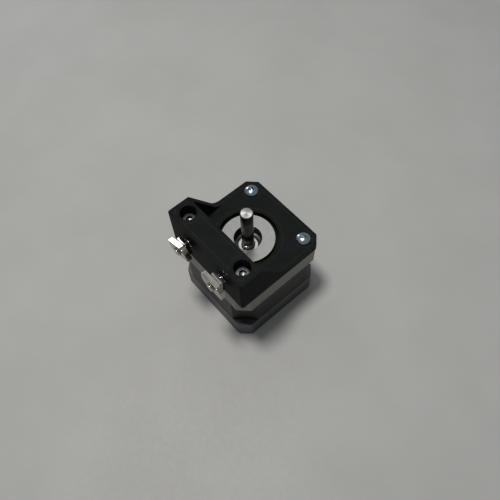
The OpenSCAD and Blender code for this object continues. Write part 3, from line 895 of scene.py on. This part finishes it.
def build_tee_bolt(side, name, node):
    """A button head with its thread, from the bar's inner face out through the tee nut."""
    r, h, dome_r, across, depth, length, steps = 3.8, 2.2, 4.6, 2.5, 1.3, 15.98, 8
    rim = math.asin(r / dome_r)
    rows = [ring_at(r - 0.2, 0.0)]
    for k in range(steps + 1):
        angle = rim * (1 - 0.6 * k / steps)
        rows.append(ring_at(dome_r * math.sin(angle) * 0.995, h - dome_r + dome_r * math.cos(angle)))
    rows.append(hexagon_at(across, h - 0.02, 0.15))
    rows.append(hexagon_at(across, h - 0.18))
    rows.append(hexagon_at(across, h - depth))
    rows.append(ring_at(0.002, h - depth - 0.45))
    bm = bmesh.new()
    skin(bm, rows)
    threaded(bm, M4, -length, -AXIS_R, 40)
    placed(bm, (side * TEE_X, BAR_IN_Y, TEE_Z), 0.0, Matrix.Rotation(-math.pi / 2, 4, "X"))
    return finish_piece(to_object(bm, name), "bolt_nickel", ROOT, [node])


# ---------- Tee nuts ----------

def oblong(half_length, half_width, radius, steps):
    """A rectangle about the origin with its corners rounded."""
    corners = [(-half_length, -half_width), (half_length, -half_width),
               (half_length, half_width), (-half_length, half_width)]
    return rounded(corners, radius, steps)


def build_tee_nut(side, name, node, turn, body):
    """A wing with two opposite corners round, so that it can turn in the slot, on a square boss."""
    length, width, bore_r = 11.3, 5.8, 2.05
    r, near = width / 2, HALF_W + 0.9
    far = near + 4.2
    solids = [
        prism(oblong(3.0, r, 0.2, 2), near, near + 1.7),
        prism(oblong(2.7, r - 0.3, 0.2, 2), near + 1.5, near + 2.3),
        prism(oblong(length / 2, r, [r * 0.99, 0.25, r * 0.99, 0.25], 10), near + 2.0, far),
    ]
    obj = carve(name, solids, [prism(circle(bore_r, 48), near - OVER, far + OVER)])
    soften(obj, 0.42, 4)
    move = Matrix.Translation(Vector((side * TEE_X, 0, TEE_Z)) * MM)
    obj.data.transform(move @ Matrix.Rotation(-turn, 4, "Y") @ Matrix.Rotation(math.pi / 2, 4, "X"))
    return finish_piece(obj, "tee_nickel", body, [node])


build_bracket()
build_front_cap()
build_rear_cap()
build_shaft()
build_bearings()
build_pan_screw(-1, "far_left_screw", "far_left_pan_screw", math.radians(20))
build_pan_screw(1, "far_right_screw", "far_right_pan_screw", math.radians(62))
build_bar_screw(-1, "left_well_screw", "left_bar_screw")
build_bar_screw(1, "right_well_screw", "right_bar_screw")
build_tee_bolt(-1, "left_slot_bolt", "left_tee_bolt")
build_tee_bolt(1, "right_slot_bolt", "right_tee_bolt")
build_tee_nut(-1, "left_slot_nut", "left_tee_nut", math.radians(25), "left_tee_nut")
build_tee_nut(1, "right_slot_nut", "right_tee_nut", 0.0, "right_tee_nut")


# ---------- CAD nodes that stay ----------

def dress(name, node):
    """Gives a CAD node its material, and softened edges where it shows. Balls stay round."""
    node.data.materials.clear()
    node.data.materials.append(MATERIALS[node_slots[name]])
    if node.hide_render:
        return
    weld = node.modifiers.new("weld", "WELD")
    weld.merge_threshold = 0.001 * MM
    if name.endswith("_balls"):
        return
    flat = node.modifiers.new("flat", "DECIMATE")
    flat.decimate_type, flat.angle_limit = "DISSOLVE", math.radians(0.5)
    bevel = node.modifiers.new("edges", "BEVEL")
    bevel.width, bevel.segments, bevel.limit_method = 0.08 * MM, 2, "ANGLE"
    bevel.angle_limit = math.radians(40)


for node_name, cad_node in frame["nodes"].items():
    dress(node_name, cad_node)


# ---------- Floor, light and camera ----------

def build_floor():
    half = 1500
    bm = bmesh.new()
    corners = ((-half, -half), (half, -half), (half, half), (-half, half))
    bm.faces.new([bm.verts.new((x, y, 0)) for x, y in corners])
    floor = to_object(bm, "floor")
    look = Look("pale_floor", Specular_IOR_Level=0.3)
    tone = look.between(look.noise(0.02, 3.0), 0.3, 0.7)
    look.colour(look.blend(tone, (0.45, 0.445, 0.43), (0.48, 0.475, 0.46)))
    look.rough(look.between(look.noise(0.5), 0.3, 0.7, 0.55, 0.7))
    floor.data.materials.append(look.material)


def area_light(name, at, target, size, watts, tint):
    light = bpy.data.lights.new(name, "AREA")
    light.shape, light.size, light.energy, light.color = "DISK", size, watts, tint
    obj = bpy.data.objects.new(name, light)
    scene.collection.objects.link(obj)
    obj.location = at
    obj.rotation_mode = "QUATERNION"
    obj.rotation_quaternion = (Vector(target) - Vector(at)).to_track_quat("-Z", "Y")


def build_lights():
    """A lamp overhead, a panel for level metal to reflect and one beside the left tee nut, in metres."""
    world = bpy.data.worlds.new("studio")
    world.use_nodes = True
    background = world.node_tree.nodes["Background"]
    background.inputs["Color"].default_value = (0.92, 0.96, 1.0, 1.0)
    background.inputs["Strength"].default_value = 0.20
    scene.world = world
    middle = (0, 0, 0.03)
    area_light("ceiling", (-0.075, -0.065, 0.66), middle, 0.12, 2.5, (1.0, 0.99, 0.97))
    area_light("panel", (-0.27, 0.28, 0.62), middle, 0.34, 0.20, (1.0, 1.0, 0.98))
    area_light("window", (-0.68, 0.12, 0.18), middle, 0.18, 0.48, (0.97, 0.99, 1.0))


def build_camera():
    """A camera that looks at target from azimuth, measured from +X, and from elevation above it."""
    target = Vector((3.93, -2.35, 34.0)) * MM
    distance = 211.5 * MM
    azimuth, elevation, roll = (math.radians(a) for a in (-38.71, 60.87, -2.8))
    flat = math.cos(elevation)
    back = Vector((flat * math.cos(azimuth), flat * math.sin(azimuth), math.sin(elevation)))
    level = Vector((-math.sin(azimuth), math.cos(azimuth), 0))
    right = level * math.cos(roll) + back.cross(level) * math.sin(roll)
    up = back.cross(right)
    data = bpy.data.cameras.new("camera")
    data.lens, data.sensor_width = 38.31, 36.0
    data.clip_start, data.clip_end = 0.01, 10.0
    camera = bpy.data.objects.new("camera", data)
    scene.collection.objects.link(camera)
    turn = Matrix((right, up, back)).transposed().to_4x4()
    camera.matrix_world = Matrix.Translation(target + back * distance) @ turn
    scene.camera = camera


build_floor()
build_lights()
build_camera()
scene.view_settings.view_transform = "Standard"
